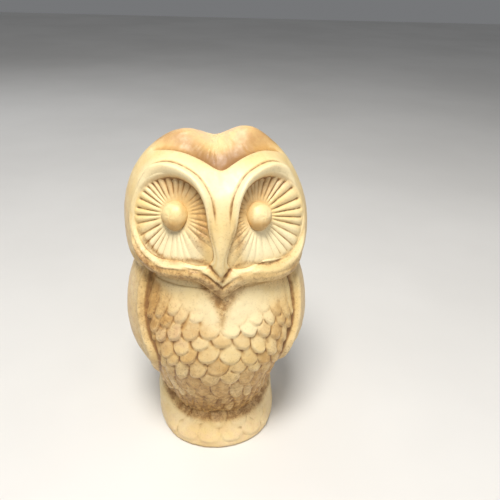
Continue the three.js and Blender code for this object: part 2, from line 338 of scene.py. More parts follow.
def ruff_lines(degrees):
    """Elevations of the folds over and under the ruff, which hangs a little lower on the owl's left."""
    away = np.abs(degrees)
    top = RUFF_TOP(away) - FACE_TILT * degrees + 2.4 * bell(degrees - 40, 9)
    return top, RUFF_BOTTOM(away) - FACE_TILT * degrees


def brow_relief(degrees, height, side):
    """A ridge from the beak's bridge over the eye, thicker by the bridge, with a fine line each side."""
    curve = flat_curve([(side * a, e) for a, e in BROW_ARC])
    offset, along = near_curve(degrees * BROW_SQUEEZE, height, curve * [BROW_SQUEEZE, 1])
    offset = offset * side * HEAD_MM_PER_DEGREE * 0.95
    near = np.abs(along - 0.5) < 0.499
    ends = smooth(along, 0, 0.16) * smooth(along, 1, 0.78)
    swell = 2.0 * np.where(offset > 0, bell(offset, 5.5), bell(offset, 2.4))
    swell = swell * smooth(along, 0.12, 0.3)
    ridge = 1.5 * bell(offset, 1.7)
    lines = -0.65 * bell(offset + 2.7, 0.7) - 0.75 * bell(offset - 2.5, 0.7)
    return (swell + ridge + lines) * ends * near, offset, along


def beak_middle(height):
    """Azimuth of the beak's ridge, which leans a little to the owl's right."""
    return -0.3 - 1.5 * smooth(height, 30, -4)


def beak_relief(degrees, height):
    """The bridge between the eyes, which grows into a short hooked beak."""
    across = (degrees - beak_middle(height)) * HEAD_MM_PER_DEGREE * np.cos(np.radians(height))
    bridge = 1.6 * bell(across, 5.5) * smooth(height, 46, 34) * smooth(height, -5, 10)
    width = 3.0 + 1.4 * smooth(height, 22, 0) - 2.2 * smooth(height, -4, -13)
    drop = smooth(height, -15.5, -12.0)
    bill = (1.0 + 3.0 * smooth(height, 24, -8)) * bell(across, width) * smooth(height, 34, 16) * drop
    return bridge + bill


def ruff_relief(degrees, height):
    """The rolled fold under the eyes, with a deep crease over it and the chest tucked in under it."""
    top, bottom = ruff_lines(degrees)
    across = np.clip((height - bottom) / (top - bottom), 0, 1)
    fade = smooth(np.abs(degrees), 68, 50)
    roll = 3.0 * np.sin(math.pi * across) ** 0.75 * fade
    crease = -1.5 * bell((height - top) * HEAD_MM_PER_DEGREE, 2.1) * fade * smooth(np.abs(degrees), -6, 14)
    groove = -0.9 * smooth(degrees, 20, -10) - 0.4
    line = groove * bell((height - top * 0.64 - bottom * 0.36) * HEAD_MM_PER_DEGREE, 1.2) * fade
    tuck = -9.0 * smooth(height, bottom, bottom - 3.2) * smooth(np.abs(degrees), 72, 50)
    return roll + crease + line + tuck


def rim_relief(points, side):
    """A soft band around an eye disc with two fine lines outside it."""
    x, y, z = np.moveaxis(eye_local(points, side), -1, 0)
    beyond = np.hypot(x, y) - outline_radius(-side * x, y, side)
    facing = z > -24
    outer = smooth(-side * x, 9, -6)
    band = 0.9 * bell(beyond - 1.8, 1.6)
    first = -0.9 * bell(beyond - 1.2, 0.8) * smooth(y, 4, -6)
    second = -0.35 * bell(beyond - 6.4, 0.5) * outer * smooth(y, 6, -6)
    return (band * (0.35 + 0.65 * outer) + first + second) * facing, beyond


def side_relief(degrees, height):
    """The owl's left temple is a little flatter, and both cheeks draw in above the neck."""
    temple = -2.4 * smooth(degrees, 35, 75) * smooth(degrees, 165, 120) * bell(height - 34, 24)
    cheeks = -2.0 * smooth(np.abs(degrees), 50, 68) * bell(height + 25, 7)
    return temple + cheeks


def face_relief(points, out, degrees, height):
    """Everything on the face, with the pockets for the eye discs cut in a little under their floors."""
    relief = beak_relief(degrees, height) + ruff_relief(degrees, height)
    pocket = np.zeros(degrees.shape)
    for side in (1, -1):
        rim, beyond = rim_relief(points, side)
        relief += brow_relief(degrees, height, side)[0] + rim
        x, y, z = np.moveaxis(eye_local(points, side), -1, 0)
        inside = smooth(beyond, 0.7, -0.7) * (z > -22)
        toward = out @ EYES[side][1][2]
        floor = disc_floor(x, y, side) - z
        pocket = pocket * (1 - inside) + inside * (floor - POCKET_GAP) / toward
        relief = relief * (1 - inside)
    return relief + pocket


def with_hollows(shaped, rows, cols, wrap=True, broad_reach=10):
    """Charts of a surface and of how hollow it is, closely and broadly."""
    fine = blur(shaped, 3, wrap) - shaped
    broad = blur(shaped, broad_reach, wrap) - shaped
    return [Chart(rows, cols, field, wrap) for field in (shaped, fine, broad)]


def make_head_charts():
    """The head's radius over azimuth and elevation, and how hollow each place is."""
    azimuths = all_round(0.3)
    elevations = np.linspace(-math.pi / 2, math.pi / 2, 601)
    azimuth, elevation = np.meshgrid(azimuths, elevations)
    out = direction(azimuth, elevation)
    radius = head_base(azimuth, elevation)
    plain = HEAD_CENTRE + out * radius[..., None]
    cove = blur(cove_relief(plain[..., 0], plain[..., 1]), 4, True)
    upper = smooth(elevation, 0.1, 0.5)
    radius = radius + upper * (crest_relief(plain[..., 0], plain[..., 1]) + cove)
    degrees, height = np.degrees(azimuth), np.degrees(elevation)
    shaped = radius + side_relief(degrees, height) + 0.1 * grit(radius.shape, 5, 3)
    front = (np.abs(degrees) < 88) & (np.abs(height) < 68)
    shaped[front] += face_relief(plain[front], out[front], degrees[front], height[front])
    return with_hollows(shaped, elevations, azimuths)


# ---------- the torso's shape ----------

TORSO_BOTTOM = torso_low[2]
TORSO_TOP = NECK + 16
BODY_HEIGHTS = [12, 31, 45, 60, 80, 98, 110, 122, 132, 138]
torso_width = curve_over(BODY_HEIGHTS, [26, 33, 38.5, 45.3, 53.0, 53.6, 51.6, 47.6, 44, 40])
torso_front = curve_over(BODY_HEIGHTS, [27, 33.5, 40, 46.5, 51, 50, 48, 46, 44.8, 42])
torso_back = curve_over(BODY_HEIGHTS, [27, 38, 42, 45.5, 47, 46, 44, 41, 38, 36])
wing_edge = curve_over([34, 45, 60, 70, 78, 95, 120, 138], [68, 62, 51, 45, 43.5, 50, 57, 60])


def torso_base(azimuth, height):
    """Radius of the plain body about its upright axis."""
    depth = np.where(np.cos(azimuth) > 0, torso_front(height), torso_back(height))
    across = np.abs(np.sin(azimuth) / torso_width(height)) ** PLAN_SQUARE
    along = np.abs(np.cos(azimuth) / depth) ** PLAN_SQUARE
    return (across + along) ** (-1 / PLAN_SQUARE)


def front_edge(height, side):
    """Azimuth of a wing's front edge. The owl's left wing starts a little further round."""
    return wing_edge(height) + 1.5 * (side > 0) * smooth(height, 60, 90)


def wing_back(height):
    """Azimuth where a wing ends at the back, sloping out from the tail to the shoulders."""
    return 112 + 42 * smooth(height, 36, 118)


def wing_relief(degrees, height):
    """A smooth band down each side: a proud ridge, fine lines behind it, and a step at the back."""
    back = wing_back(height)
    away = np.abs(degrees)
    from_edge = (away - front_edge(height, degrees)) * HEAD_MM_PER_DEGREE * 1.04
    ridge = 1.6 * bell(from_edge - 3.0, 2.6)
    groove = -1.0 * bell(from_edge + 2.2, 2.6)
    band = 1.9 * smooth(from_edge, -1.8, 2.6) * smooth(away, back + 2.5, back - 1.5)
    lines = 0
    for number in range(4):
        course = from_edge - 4.8 - 7.4 * number * (0.55 + 0.45 * smooth(height, 44, 100))
        depth = 0.55 if number == 0 else 0.4 * smooth(height, 96, 70)
        lines = lines - depth * bell(course, 0.6) * (away < back)
    shown = np.where(degrees > 0, smooth(height, 40, 84), smooth(height, 34, 78))
    return (ridge + groove + band + lines) * shown, from_edge


def scale_relief(across, height, first_row, last_row, spacing, width, rise, crown):
    """Overlapping plump feathers: each row's rounded lower edges lie over the row beneath.

    The sines of a feather's number give each one its own shift, droop, size and tint.
    """
    rows = int((first_row - last_row) / spacing) + 1
    relief = np.zeros(across.shape)
    tint = np.zeros(across.shape)
    settled = np.zeros(across.shape, bool)
    for row in range(rows):
        bottom = first_row - row * spacing
        shift = 0.5 * (row % 2)
        cell = np.floor(across / width + shift)
        wander = np.sin(cell * 12.9 + row * 4.7)
        centre = (cell - shift + 0.5) * width + 0.12 * width * wander
        side = np.clip(np.abs(across - centre) / (0.54 * width), 0, 1)
        arch = 0.66 * width * (1 - (1 - side**2.7) ** (1 / 2.7))
        edge = bottom + arch + 0.19 * spacing * np.cos(cell * 7.3 + row * 2.1)
        above = height - edge
        mine = (above >= 0) & ~settled
        size = 1 + 0.22 * np.cos(cell * 5.1 + row)
        plump = (0.4 + 0.6 * smooth(above, 0, 3.2)) * np.exp(-above / (0.95 * spacing))
        relief = np.where(mine, rise * size * plump - crown * side**2, relief)
        tint = np.where(mine, 0.5 + 0.5 * np.sin(cell * 17.3 + row * 9.1), tint)
        settled |= mine
    return relief, tint


def breast_relief(degrees, height):
    """Feathers over the breast, narrower towards the wings and worn smooth at the top of the chest."""
    across = np.radians(degrees) * 50 + 1.5
    warped = across * (1 + 0.012 * np.abs(across))
    drawn_out = height + 0.3 * np.clip(70 - height, 0, None)
    scales, tint = scale_relief(warped, drawn_out + 0.009 * across**2, 117, 30, 9.0, 13.2, 3.2, 1.5)
    worn = height - np.where(across < 2, 0.62, 0.42) * np.abs(across - 2)
    bare = smooth(worn, 105, 96)
    foot = smooth(height, 22, 40)
    cleft = -2.1 * bell(across, 4.6) * smooth(height, 96, 124)
    return scales * (0.1 + 0.9 * bare) * (0.5 + 0.5 * foot) + cleft, tint * bare


def body_draw_in(degrees, height):
    """The neck draws in under the head, and low down the owl's left side is slimmer than its right."""
    neck = 1.6 * smooth(height, 119, 126) * smooth(np.abs(degrees), 45, 60)
    lean = 4.8 * bell(height - 56, 12.5) * smooth(degrees, 22, 62) * smooth(degrees, 150, 100)
    return neck + lean


def make_torso_charts():
    """The body's radius over azimuth and height, how hollow each place is, and the feathers' tint."""
    azimuths = all_round(0.3)
    heights = np.arange(TORSO_BOTTOM, TORSO_TOP + 0.15, 0.3)
    azimuth, height = np.meshgrid(azimuths, heights)
    degrees = np.degrees(azimuth)
    radius = torso_base(azimuth, height)
    wing, from_edge = wing_relief(degrees, height)
    breast, tint = breast_relief(degrees, height)
    inside = smooth(from_edge, -0.6, -2.6)
    rough = 0.12 + 0.25 * smooth(height, 56, 36) * smooth(np.abs(degrees), 75, 55)
    feathers = blur(breast * inside, 1.2, True)
    shaped = radius + wing - body_draw_in(degrees, height) + feathers
    shaped = shaped + rough * grit(radius.shape, 3, 5)
    tints = Chart(heights, azimuths, blur(tint * inside, 1.5, True), True)
    return with_hollows(shaped, heights, azimuths) + [tints]


# ---------- the foot's shape ----------


APRON_OUT, APRON_BACK, APRON_HEIGHT = 2.2, 12.0, 22.0


def foot_radius(azimuth, height):
    """Upright at the sides and back; in front an apron that slopes back to the belly."""
    away = np.degrees(np.abs(azimuth))
    upright = smooth(away, 35, 74)
    rise = np.clip(height, 0, None) / APRON_HEIGHT
    apron = FOOT_RADIUS + APRON_OUT - APRON_BACK * np.minimum(rise, 1.6) ** 1.8
    wall = FOOT_RADIUS - 2.2 * smooth(height, FOOT_TOP - 14, FOOT_TOP)
    wall = wall - 6.0 * smooth(height, FOOT_TOP - 13, FOOT_TOP) * smooth(np.sin(azimuth), 0, 0.5)
    radius = apron * (1 - upright) + wall * upright
    radius = radius - 2.2 * smooth(np.sin(azimuth), 0.2, 0.9) * smooth(height, 4, 24)
    rounding = 0.5 * smooth(height, foot_low[2] + 1.8, foot_low[2]) ** 2
    across = azimuth * FOOT_RADIUS
    scales, _ = scale_relief(across, height + 0.004 * across**2, 25, 4, 9.5, 15.5, 2.4, 1.2)
    return radius - rounding + scales * smooth(away, 66, 46) * smooth(height, 3, 7)


def make_foot_charts():
    """The foot's radius over azimuth and height, and how hollow each place is."""
    azimuths = all_round(0.4)
    heights = np.arange(foot_low[2], FOOT_TOP + 0.15, 0.3)
    azimuth, height = np.meshgrid(azimuths, heights)
    shaped = blur(foot_radius(azimuth, height), 1.5, True) + 0.12 * grit(azimuth.shape, 3, 7)
    return with_hollows(shaped, heights, azimuths)


# ---------- the eyes' shape ----------

FLUTES = 32
CHART_REACH = 36.0
PUPIL_WIDE, PUPIL_TALL, PUPIL_HIGH = 7.2, 7.7, 6.6


def flute_relief(x, y, side):
    """Rounded rays between thin grooves, from the pupil to the edge, and how near the edge places are."""
    inward = -side * x
    dx, dy = inward - PUPIL_IN[side], y - PUPIL_UP
    angle = np.arctan2(dy, dx)
    uneven = angle + 0.05 * np.sin(3 * angle + side) + 0.03 * np.sin(7 * angle + 2)
    wave = np.abs(np.sin(FLUTES * uneven / 2))
    number = np.floor(FLUTES * uneven / (2 * math.pi))
    strength = 0.75 + 0.25 * np.sin(number * 3.7 + side)
    reach = np.hypot(x, y) / outline_radius(inward, y, side)
    from_pupil = np.hypot(dx / 7.0, dy / 7.8)
    outer = smooth(inward, 10, -8)
    amount = smooth(from_pupil, 1.0, 1.7) * smooth(reach, 1.0, 0.9) * (0.55 + 0.45 * outer)
    fade_low = 1 - 0.45 * smooth(y, -4, -18) * smooth(inward, -14, 2)
    groove = -(1 - wave**0.6) * 1.6 * strength
    crown = 0.35 * wave
    return (groove + crown) * amount * fade_low, reach


def make_eye_charts(side):
    """The height of a disc's face over its own plane, and how hollow each place is."""
    steps = np.arange(-CHART_REACH, CHART_REACH + 0.1, 0.2)
    x, y = np.meshgrid(steps, steps)
    flutes, reach = flute_relief(x, y, side)
    lip = 1.0 * smooth(reach, 0.86, 1.0) ** 2 * smooth(y, -12, 6)
    level = disc_floor(x, y, side) + blur(flutes, 1.2, False) + lip
    return with_hollows(level, steps, steps, wrap=False, broad_reach=9)


# ---------- paint: where the wash, stain, blush, painted light and painted shade lie ---


def spot(points, centre, reach):
    """A soft ball of paint: 1 at its centre, falling off at its own reach along each axis."""
    return np.exp(-np.sum(((points - centre) / reach) ** 2, axis=-1))


def lid_painted_shade(points, side):
    """Golden painted shade in the upper, deeper part of an eye disc, under the brow."""
    x, y, z = np.moveaxis(eye_local(points, side), -1, 0)
    inside = smooth(np.hypot(x, y) - outline_radius(-side * x, y, side), 1.5, -1)
    inside = inside * smooth(z, 1.5, 0) * (z > -9)
    return 1.15 * inside * smooth(y - 0.45 * side * x, -3, 15)


def ruff_painted_shade(points):
    """Painted shade, brown, over the lower half of the ruff, which faces down, on the chest close under it
    and along the crease over it.
    """
    x, y, z = np.moveaxis(points - HEAD_CENTRE, -1, 0)
    degrees = np.degrees(np.arctan2(x, -y))
    top, bottom = ruff_lines(degrees)
    across = (np.degrees(np.arctan2(z, np.hypot(x, y))) - bottom) / (top - bottom)
    lower = smooth(across, 0.82, 0.6) * smooth(across, -0.55, -0.1)
    upper = 0.8 * bell(across - 1, 0.12)
    paler_left = 1 - 0.45 * smooth(degrees, -5, 25)
    return (0.9 * lower + upper) * smooth(np.abs(degrees), 66, 50) * paler_left


def golden_painted_shade_at(points):
    """Smooth golden painted shade in the cove behind the forehead and under the upper edges of the eye
    discs.
    """
    x, y, z = np.moveaxis(points, -1, 0)
    cove = 1.35 * bell(y - cove_front(x) - 12, 11) * smooth(z, 170, 177) * smooth(np.abs(x), 42, 30)
    cove += 1.0 * spot(points, [0, -17, 184], [15, 13, 12])
    return cove + sum(lid_painted_shade(points, side) for side in (1, -1))


def stain_and_shade_at(points):
    """Brown stain on the flanks, brown stain and painted shade in the eyes' inner corners, painted shade in
    the cove and under the ruff, and darker low on the belly, on the lower breast, at the jaw and down the
    sides.
    """
    x, y, z = np.moveaxis(points, -1, 0)
    front = smooth(y, 12, -14)
    # Painted shade in the cove under the lip.
    cove = 0.35 * spot(points, [0, -17, 183], [11, 10, 9])
    flank = 0.75 * spot(points, [-37, -34, 108], [12, 17, 21])
    flank += 0.45 * spot(points, [34, -34, 96], [12, 22, 20])
    flank += 0.2 * spot(points, [-20, -48, 100], [14, 12, 16])
    off_apron = smooth(z, 13, 20) * smooth(np.hypot(x, y) - 0.2 * z, 33.5, 30)
    belly = 1.1 * smooth(z, 68, 32) * front * off_apron
    lower = 0.62 * smooth(z, 96, 58) * smooth(z, 30, 50) * front
    # Brown stain and painted shade in the eyes' inner corners.
    corners = 0.85 * spot(points, [-10, -42, 159], [6, 9, 10])
    corners += 0.7 * spot(points, [7.5, -44, 156], [5, 9, 10])
    jaw = 0.45 * bell(z - 128, 8) * smooth(np.abs(x), 30, 44)
    jaw += 0.12 * smooth(np.abs(x), 36, 52) * smooth(z, 130, 100) * smooth(z, 40, 62)
    return np.clip(cove + flank + belly + lower + ruff_painted_shade(points) + corners + jaw, 0, 1)


def blush_at(points):
    """A faint pink where the body shows through: the crest, the outer edges and the right breast."""
    x, y, z = np.moveaxis(points, -1, 0)
    crest = smooth(z, 192, 199) + 0.6 * smooth(np.abs(x), 44, 53)
    breast = 0.8 * spot(points, [-28, -42, 100], [14, 14, 14]) + 0.4 * smooth(z, 26, 8)
    return np.clip(crest + breast, 0, 1)


def painted_light_at(points):
    """Painted light, pale cream, on the brows, forehead, lower discs and the upper breast, where the lamp
    falls full.
    """
    x, y, z = np.moveaxis(points, -1, 0)
    brows = 0.9 * bell(z - 183, 9) * smooth(y, -8, -24)
    discs = 0.9 * bell(z - 151, 10) * smooth(y, -24, -36) * smooth(np.abs(x), 6, 14)
    breast = 0.95 * spot(points, [4, -50, 110], [32, 18, 20])
    return np.clip(brows + discs + breast, 0, 1)


# ---------- meshes ----------


def add_piece(name, points, faces, paint, node, material):
    """A closed mesh that rides on the root body, with its paint stored on its points."""
    mesh = bpy.data.meshes.new(name)
    mesh.from_pydata((points * MM).tolist(), [], faces)
    # The stain attribute carries the stains and also painted shade, the pale attribute painted light, and
    # the tint attribute each feather's own tint plus, added below, golden painted shade in the cove and the
    # upper eye discs.
    paint = dict(paint, stain_and_shade=stain_and_shade_at(points), blush=blush_at(points), pale=painted_light_at(points))
    paint["tint"] = paint["tint"] + golden_painted_shade_at(points)
    for label, values in paint.items():
        layer = mesh.attributes.new(label, "FLOAT", "POINT")
        layer.data.foreach_set("value", np.asarray(values, np.float32))
    mesh.validate()
    mesh.shade_smooth()
    piece = bpy.data.objects.new(f"{name}_clay", mesh)
    bpy.context.scene.collection.objects.link(piece)
    mesh.materials.append(material)
    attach(piece, "root")
    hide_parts(node)


def ring_faces(rows, cols):
    """Quads between rings that close on themselves, plus a fan to a point under and one over."""
    faces = []
    for j in range(rows - 1):
        a, b = j * cols, (j + 1) * cols
        for i in range(cols):
            k = (i + 1) % cols
            faces.append((a + i, a + k, b + k, b + i))
    low, high = rows * cols, rows * cols + 1
    last = (rows - 1) * cols
    faces += [((i + 1) % cols, i, low) for i in range(cols)]
    faces += [(last + i, last + (i + 1) % cols, high) for i in range(cols)]
    return faces


def slab_faces(rows, cols):
    """Faces of a slab: one grid over another, joined all round their edges."""
    under = rows * cols
    faces = []
    for j in range(rows - 1):
        for i in range(cols - 1):
            a, b = j * cols + i, (j + 1) * cols + i
            faces.append((a, a + 1, b + 1, b))
            faces.append((under + a, under + b, under + b + 1, under + a + 1))
    border = list(range(cols))
    border += [j * cols + cols - 1 for j in range(1, rows)]
    border += [(rows - 1) * cols + i for i in range(cols - 2, -1, -1)]
    border += [j * cols for j in range(rows - 2, 0, -1)]
    for a, b in zip(border, border[1:] + border[:1]):
        faces.append((b, a, under + a, under + b))
    return faces


def dense_steps(start, end, count, focus, weight):
    """Steps from start to end that are weight times closer together inside the focus span."""
    fine = np.linspace(start, end, 4000)
    inside = smooth(fine, focus[0] - 0.1, focus[0]) * smooth(fine, focus[1] + 0.1, focus[1])
    density = 1 + (weight - 1) * inside
    total = np.concatenate([[0], np.cumsum((density[1:] + density[:-1]) / 2)])
    return np.interp(np.linspace(0, total[-1], count), total, fine)


def front_steps(count):
    """Angles all round, twice as close at the front as at the sides."""
    s = np.arange(count) / count - 0.5
    return 2 * math.pi * s - 0.55 * np.sin(2 * math.pi * s)


def washes(charts, col, row):
    """How hollow each place is, closely and broadly, and how much its own feather is tinted."""
    tint = charts[3].at(col, row) if len(charts) > 3 else 0 * col
    return {"hollow": charts[1].at(col, row), "broad": charts[2].at(col, row), "tint": tint}


def joined(*paints):
    """The paint of several groups of points, one after another."""
    return {label: np.concatenate([paint[label] for paint in paints]) for label in paints[0]}


def head_points(azimuth, elevation, lift):
    """Places on the head's surface, lifted off it a little."""
    radius = head_charts[0].at(azimuth, elevation) + lift
    return HEAD_CENTRE + direction(azimuth, elevation) * radius[..., None]


def torso_points(azimuth, height, lift):
    """Places on the body's surface, lifted off it a little."""
    radius = torso_charts[0].at(azimuth, height) + lift
    return np.stack([np.sin(azimuth) * radius, -np.cos(azimuth) * radius, height + 0 * radius], -1)


PROUD, EDGE_DIP = 0.07, 0.8


def slab_piece(name, surface, charts, col, row, thickness, material):
    """A piece of the sculpt that lies over its neighbour and dips under it at its edges."""
    rows, cols = col.shape
    v, u = np.meshgrid(np.linspace(0, 1, cols), np.linspace(0, 1, rows))
    to_edge = np.minimum(np.minimum(v, 1 - v) * cols, np.minimum(u, 1 - u) * rows)
    lift = PROUD - EDGE_DIP * smooth(to_edge, 3, 0)
    top = surface(col, row, lift).reshape(-1, 3)
    under = surface(col, row, -thickness).reshape(-1, 3)
    paint = washes(charts, col.ravel(), row.ravel())
    points = np.concatenate([top, under])
    add_piece(name, points, slab_faces(rows, cols), joined(paint, paint), name, material)


# ---------- materials ----------


class Nodes:
    """Short ways to add shader nodes to one material."""

    def __init__(self, name):
        self.material = bpy.data.materials.new(name)
        self.material.use_nodes = True
        self.tree = self.material.node_tree
        self.shader = self.tree.nodes["Principled BSDF"]

    def add(self, kind, inputs=(), **settings):
        node = self.tree.nodes.new(kind)
        for key, value in settings.items():
            setattr(node, key, value)
        for socket, value in dict(inputs).items():
            self.join(value, node.inputs[socket])
        return node

    def join(self, value, socket):
        if isinstance(value, bpy.types.NodeSocket):
            self.tree.links.new(value, socket)
        else:
            socket.default_value = value

    def attribute(self, label):
        return self.add("ShaderNodeAttribute", attribute_name=label).outputs["Fac"]

    def place(self):
        return self.add("ShaderNodeTexCoord").outputs["Object"]

    def noise(self, scale, detail=4.0, rough=0.55):
        inputs = {"Vector": self.place(), "Scale": scale, "Detail": detail, "Roughness": rough}
        return self.add("ShaderNodeTexNoise", inputs).outputs["Fac"]

    def ramp(self, value, low, high, bottom=0.0, top=1.0):
        inputs = {"Value": value, "From Min": low, "From Max": high, "To Min": bottom, "To Max": top}
        return self.add("ShaderNodeMapRange", inputs, interpolation_type="SMOOTHSTEP").outputs["Result"]

    def math(self, operation, a, b):
        node = self.add("ShaderNodeMath", operation=operation, use_clamp=False)
        self.join(a, node.inputs[0])
        self.join(b, node.inputs[1])
        return node.outputs[0]

    def mix(self, amount, a, b, how="MIX"):
        node = self.add("ShaderNodeMix", data_type="RGBA", blend_type=how)
        self.join(amount, node.inputs["Factor"])
        self.join(a, node.inputs[6])
        self.join(b, node.inputs[7])
        return node.outputs[2]


# Colours of the clay, its stains and its painted light and shade, in linear light.
CREAM = (0.82, 0.61, 0.27, 1)
PALE = (0.93, 0.80, 0.50, 1)
GOLD = (0.60, 0.345, 0.105, 1)
BROWN = (0.23, 0.105, 0.033, 1)
PINK = (0.74, 0.47, 0.33, 1)


def clay_material(name, painted_light_gain, wash_gain):
    """Fired clay with a cream stain, a brown wash left in the hollows, fine speckle and a satin skin, with
    painted light and painted shade laid into its colour.
    """
    n = Nodes(name)
    hollow, broad = n.attribute("hollow"), n.attribute("broad")
    stain_and_shade, blush, pale = n.attribute("stain_and_shade"), n.attribute("blush"), n.attribute("pale")
    # The tint attribute holds each feather's own tint plus golden painted shade in the cove and the upper
    # eye discs.
    tint = n.attribute("tint")
    patchy = n.noise(55.0)
    mottle = n.noise(260.0, 6.0, 0.6)
    grain = n.noise(1500.0, 3.0, 0.6)
    specks = n.noise(900.0, 2.0, 0.5)

    colour = n.mix(n.ramp(patchy, 0.35, 0.7), CREAM, n.mix(0.5, CREAM, PALE))
    # Painted light: the pale attribute lays pale cream on the brows, forehead, lower discs and upper
    # breast.
    colour = n.mix(n.math("MULTIPLY", n.ramp(pale, 0.05, 0.9), painted_light_gain), colour, PALE)
    raised = n.ramp(hollow, -0.05, -0.4)
    colour = n.mix(n.math("MULTIPLY", raised, 0.45), colour, PALE)
    pinkness = n.math("MULTIPLY", blush, n.ramp(mottle, 0.35, 0.65, 0.15, 0.75))
    colour = n.mix(pinkness, colour, PINK)
    # Golden in broad hollows, on the stains, and in the painted shade carried with the stains and the tint.
    golden = n.math("ADD", n.ramp(broad, 0.05, 1.0), n.math("MULTIPLY", stain_and_shade, 0.9))
    golden = n.math("ADD", golden, n.math("MULTIPLY", tint, 0.6))
    golden = n.math("MINIMUM", n.math("MULTIPLY", golden, n.ramp(mottle, 0.25, 0.7, 0.6, 1.0)), 0.9)
    colour = n.mix(golden, colour, GOLD)
    # Painted shade: where tint runs high, deep in the cove, the colour goes on to brown.
    colour = n.mix(n.ramp(tint, 0.85, 2.0, 0.0, 0.78), colour, BROWN)
    creased = n.math("ADD", hollow, n.math("MULTIPLY", broad, 0.4))
    deep = n.math("MULTIPLY", n.ramp(creased, 0.1, 0.72), wash_gain)
    deep = n.math("MULTIPLY", deep, n.ramp(mottle, 0.3, 0.62, 0.45, 1.0))
    colour = n.mix(n.math("MINIMUM", deep, 0.85), colour, BROWN)
    # Blotches and speckle follow the stains, and also the painted shade carried with them in the cove,
    # under the ruff and in the inner corners.
    blotch = n.math("MULTIPLY", n.math("POWER", stain_and_shade, 1.6), n.ramp(mottle, 0.38, 0.62, 0.1, 0.72))
    colour = n.mix(blotch, colour, BROWN)
    dusty = n.math("ADD", n.math("MULTIPLY", stain_and_shade, 0.55), 0.10)
    speckle = n.math("MULTIPLY", n.ramp(specks, 0.56, 0.66), dusty)
    colour = n.mix(speckle, colour, BROWN)

    shader = n.shader
    n.join(colour, shader.inputs["Base Color"])
    n.join(n.ramp(mottle, 0.3, 0.7, 0.42, 0.6), shader.inputs["Roughness"])
    shader.inputs["Specular IOR Level"].default_value = 0.42
    shader.inputs["Coat Weight"].default_value = 0.12
    shader.inputs["Coat Roughness"].default_value = 0.35
    bumps = n.math("ADD", n.math("MULTIPLY", grain, 0.25), n.math("MULTIPLY", mottle, 0.75))
    bump = n.add("ShaderNodeBump", {"Height": bumps, "Strength": 0.28, "Distance": 0.0006})
    n.join(bump.outputs["Normal"], shader.inputs["Normal"])
    return n.material


def felt_material():
    """Short dark brown felt."""
    n = Nodes("felt")
    fibre = n.noise(2600.0, 5.0, 0.7)
    cloud = n.noise(180.0, 3.0, 0.5)
    colour = n.mix(n.ramp(fibre, 0.3, 0.7), (0.045, 0.03, 0.02, 1), (0.11, 0.075, 0.05, 1))
    colour = n.mix(n.ramp(cloud, 0.4, 0.7, 0, 0.4), colour, (0.14, 0.10, 0.07, 1))
    n.join(colour, n.shader.inputs["Base Color"])
    n.join(n.ramp(fibre, 0.3, 0.7, 0.85, 1.0), n.shader.inputs["Roughness"])
    n.shader.inputs["Sheen Weight"].default_value = 0.4
    bump = n.add("ShaderNodeBump", {"Height": fibre, "Strength": 0.6, "Distance": 0.0004})
    n.join(bump.outputs["Normal"], n.shader.inputs["Normal"])
    return n.material


# ---------- the pieces ----------


def make_head(material):
    """The whole head, sunk half a millimetre where the face's own pieces lie over it."""
    azimuths = front_steps(400)
    elevations = np.radians(dense_steps(-88, 89, 248, (-26, 60), 2.2))
    azimuth, elevation = np.meshgrid(azimuths, elevations)
    points = head_points(azimuth, elevation, -0.5 * head_cover(azimuth, elevation)).reshape(-1, 3)
    poles = head_points(np.array([0.0, 0.0]), np.array([-math.pi / 2, math.pi / 2]), 0)
    col = np.concatenate([azimuth.ravel(), [0, 0]])
    row = np.concatenate([elevation.ravel(), [-math.pi / 2, math.pi / 2]])
    faces = ring_faces(*azimuth.shape)
    points = np.concatenate([points, poles])
    add_piece("head", points, faces, washes(head_charts, col, row), "head_shell", material)


def head_cover(azimuth, elevation):
    """1 where a separate piece of the face lies over the head."""
    degrees, height = np.degrees(azimuth), np.degrees(elevation)
    cover = np.zeros(degrees.shape)
    front = (np.abs(degrees) < 80) & (np.abs(height) < 60)
    d, h = degrees[front], height[front]
    cover[front] = beak_cover(d, h) + ruff_cover(d, h) + sum(brow_cover(d, h, side) for side in (1, -1))
    return np.clip(cover, 0, 1)


BROW_BELOW, BROW_ABOVE = 3.2, 3.6
FACE_THICKNESS, BREAST_THICKNESS, WING_THICKNESS = 1.8, 2.4, 2.0


def brow_cover(degrees, height, side):
    """1 under a brow's strip, just inside its edges."""
    _, offset, along = brow_relief(degrees, height, side)
    inside = smooth(offset, -BROW_BELOW + 0.5, -BROW_BELOW + 1.0)
    inside = inside * smooth(offset, BROW_ABOVE - 0.5, BROW_ABOVE - 1.0)
    return inside * smooth(along, 0.02, 0.05) * smooth(along, 0.98, 0.95)


def make_brow(name, side, material):
    """A strip along the brow's arc."""
    curve = flat_curve([(side * a, e) for a, e in BROW_ARC], 150)
    tangent = np.gradient(curve, axis=0) * [BROW_SQUEEZE, 1]
    tangent /= np.linalg.norm(tangent, axis=1)[:, None]
    normal = np.stack([-tangent[:, 1], tangent[:, 0]], 1) * side
    offsets = np.linspace(-BROW_BELOW, BROW_ABOVE, 30)
    steps = (offsets / HEAD_MM_PER_DEGREE)[None, :, None]
    degrees = curve[:, None] + normal[:, None] * steps / [BROW_SQUEEZE, 1]
    azimuth, elevation = np.radians(degrees[..., 0]), np.radians(degrees[..., 1])
    slab_piece(f"{name}_brow", head_points, head_charts, azimuth, elevation, FACE_THICKNESS, material)


def beak_half_width(height):
    """Half the width of the beak's strip: widest below the bridge and narrow at the tip."""
    return 1.2 + 3.9 * smooth(height, 40, 22) - 3.4 * smooth(height, 2, -14)


